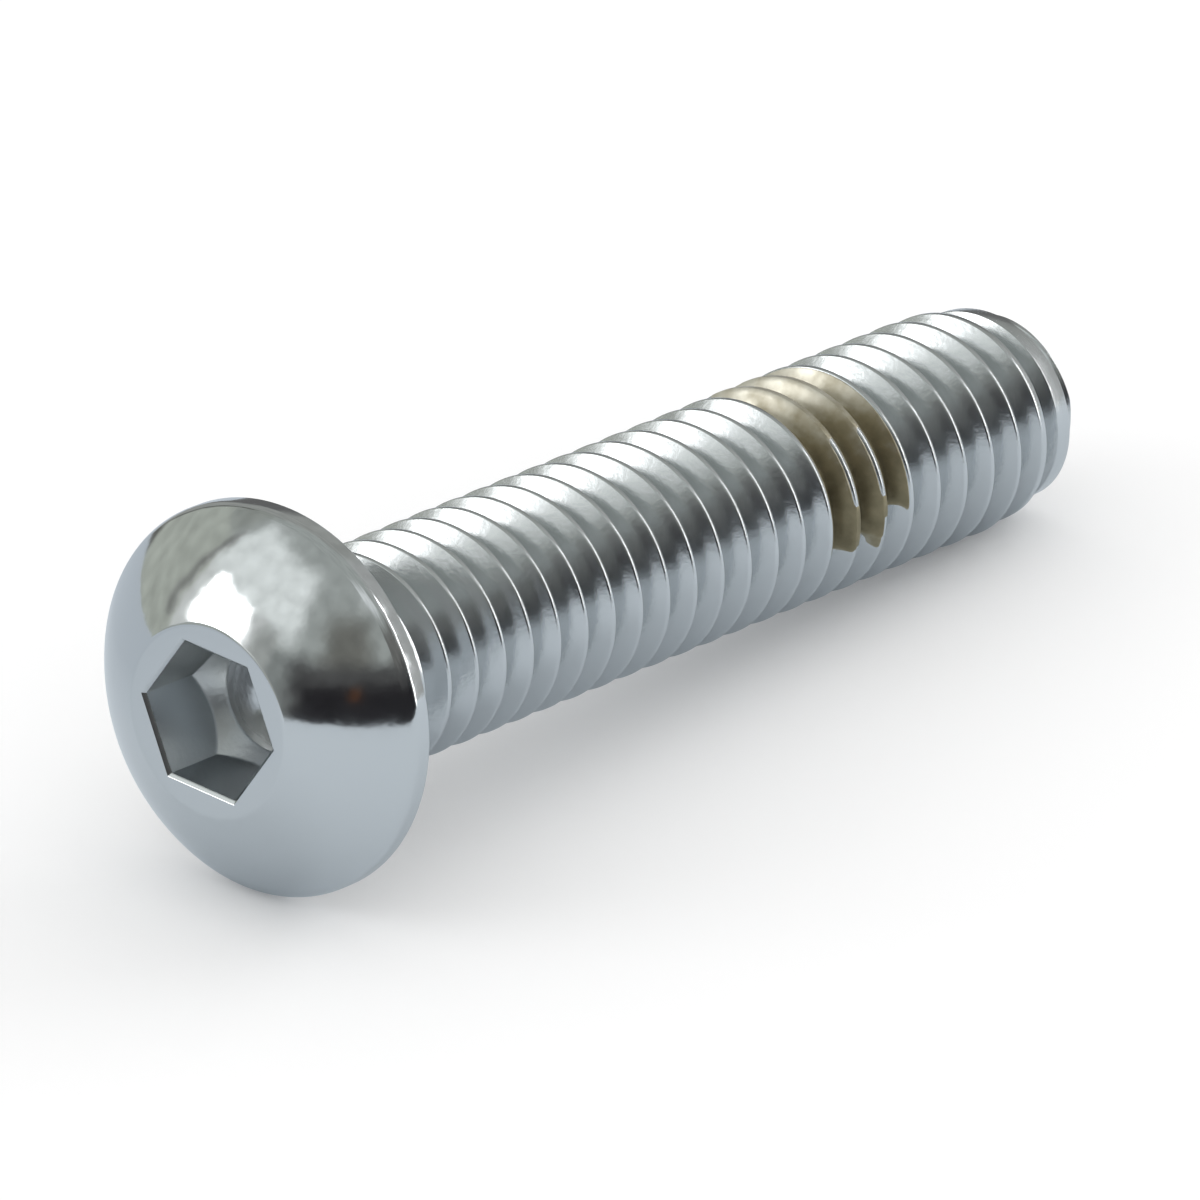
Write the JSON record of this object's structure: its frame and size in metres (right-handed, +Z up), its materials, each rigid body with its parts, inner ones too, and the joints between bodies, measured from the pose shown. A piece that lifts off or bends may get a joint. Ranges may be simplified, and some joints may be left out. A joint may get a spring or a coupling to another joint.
{
  "type": "button head bolt",
  "caption": "Chromed button head bolt with a low domed head, hexagon socket, coarse thread along nearly the whole shank and a nylon locking patch near the tip.",
  "frame": {"origin": "centre of the flat bearing face under the head", "axes": "the bolt lies as it rests: +Y runs along the floor from the head towards the tip, +Z is up, and the shank's axis leans 5.2 degrees down from +Y"},
  "size_m": [0.0136, 0.0419, 0.0138],
  "materials": {
    "chrome": "polished",
    "patch_nylon": "satin"
  },
  "bodies": {
    "root": {"bolt": "chrome", "locking_patch": "patch_nylon"}
  },
  "joints": []
}
